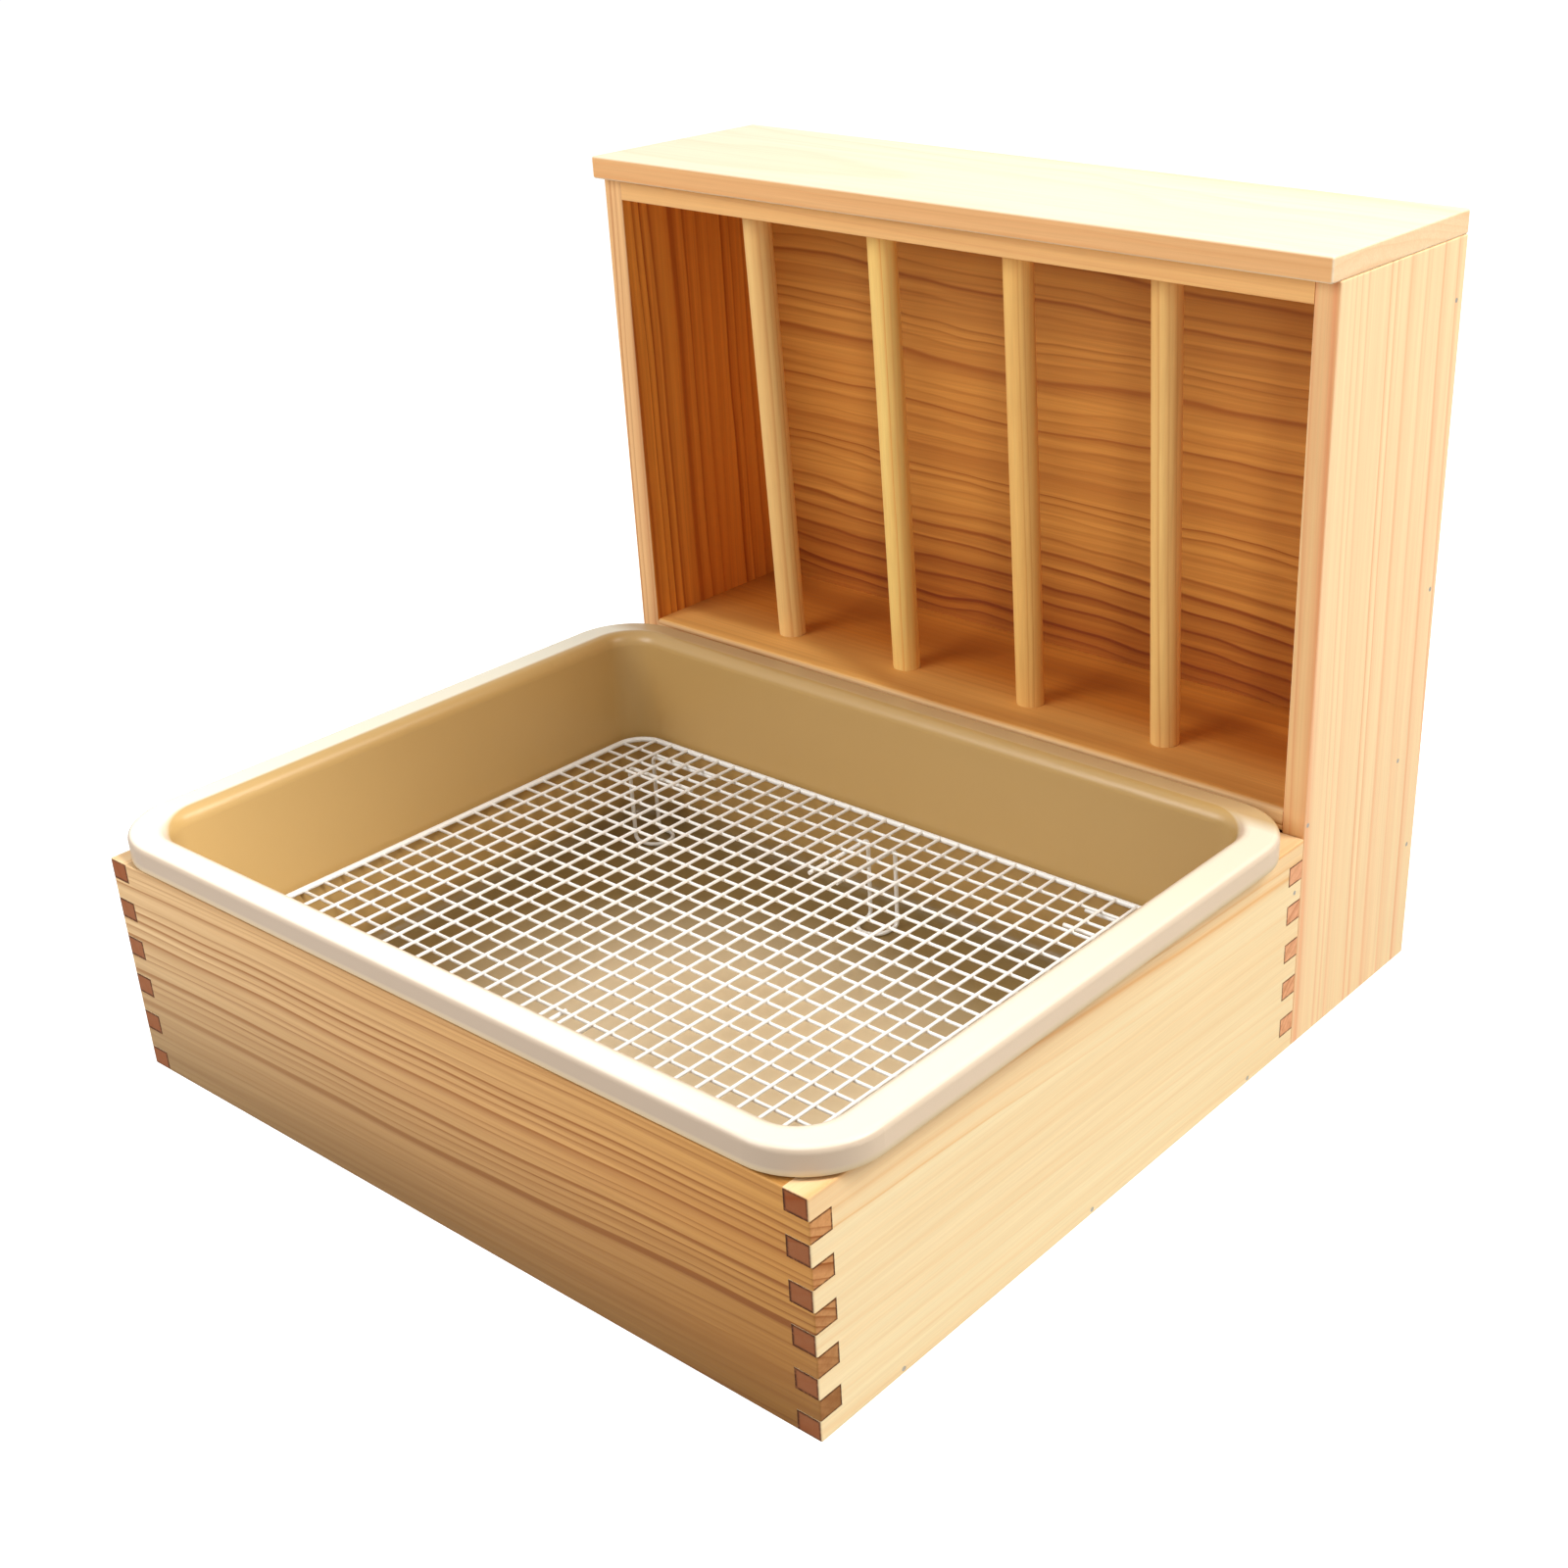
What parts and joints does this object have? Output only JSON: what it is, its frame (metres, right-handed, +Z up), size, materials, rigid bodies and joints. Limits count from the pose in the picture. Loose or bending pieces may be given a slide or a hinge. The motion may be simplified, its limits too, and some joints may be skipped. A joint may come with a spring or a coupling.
{
  "type": "hay feeder box",
  "caption": "Wooden hay feeder box for rabbits: finger-jointed litter box with lift-out plastic tray and wire mesh, barred hay rack and hinged lid behind.",
  "frame": {"origin": "middle of the bottom of the whole object, on the surface that it stands on", "axes": "+Z up, +Y from the open front to the hay rack at the back, +X to the right seen from the front"},
  "size_m": [0.442, 0.4586, 0.376],
  "materials": {
    "pine_boards": "sanded, unvarnished",
    "plywood": "sanded, unvarnished",
    "dowel_wood": "sanded, unvarnished",
    "tray_plastic": "satin",
    "coated_wire": "smooth coating",
    "plated_steel": "zinc plated"
  },
  "bodies": {
    "stand": {"base_front_board": "pine_boards", "base_back_board": "pine_boards", "base_left_end": "pine_boards", "base_right_end": "pine_boards", "base_bottom_panel": "plywood", "rack_left_side": "pine_boards", "rack_right_side": "pine_boards", "rack_back_panel": "pine_boards", "rack_floor_board": "pine_boards", "rack_top_rail": "pine_boards", "rack_bar_1": "dowel_wood", "rack_bar_2": "dowel_wood", "rack_bar_3": "dowel_wood", "rack_bar_4": "dowel_wood", "base_bottom_brads": "plated_steel", "base_corner_brads": "plated_steel", "rack_floor_brads": "plated_steel", "rack_back_panel_brads": "plated_steel", "box_to_rack_dowels": "dowel_wood", "hinge_back_screws": "plated_steel", "left_hinge_fixed_leaf": "plated_steel", "right_hinge_fixed_leaf": "plated_steel", "left_hinge_pin": "plated_steel", "right_hinge_pin": "plated_steel"},
    "lid": {"rack_lid": "pine_boards", "hinge_lid_screws": "plated_steel", "left_hinge_lid_leaf": "plated_steel", "right_hinge_lid_leaf": "plated_steel"},
    "tray": {"litter_tray": "tray_plastic"},
    "mesh": {"mesh_frame_wire": "coated_wire", "mesh_long_wires": "coated_wire", "mesh_cross_wires": "coated_wire", "mesh_front_left_leg": "coated_wire", "mesh_front_middle_leg": "coated_wire", "mesh_front_right_leg": "coated_wire", "mesh_back_left_leg": "coated_wire", "mesh_back_middle_leg": "coated_wire", "mesh_back_right_leg": "coated_wire"}
  },
  "joints": [
    {"name": "lid_hinge", "type": "hinge", "parent": "stand", "child": "lid", "pos_m": [0, 0.22765, 0.365], "axis": [-1, 0, 0], "range_deg": [0, 180]},
    {"name": "tray_lift", "type": "slide", "parent": "stand", "child": "tray", "axis": [0, 0, 1], "range_m": [0, 0.12]},
    {"name": "mesh_lift", "type": "slide", "parent": "tray", "child": "mesh", "axis": [0, 0, 1], "range_m": [0, 0.12]}
  ]
}
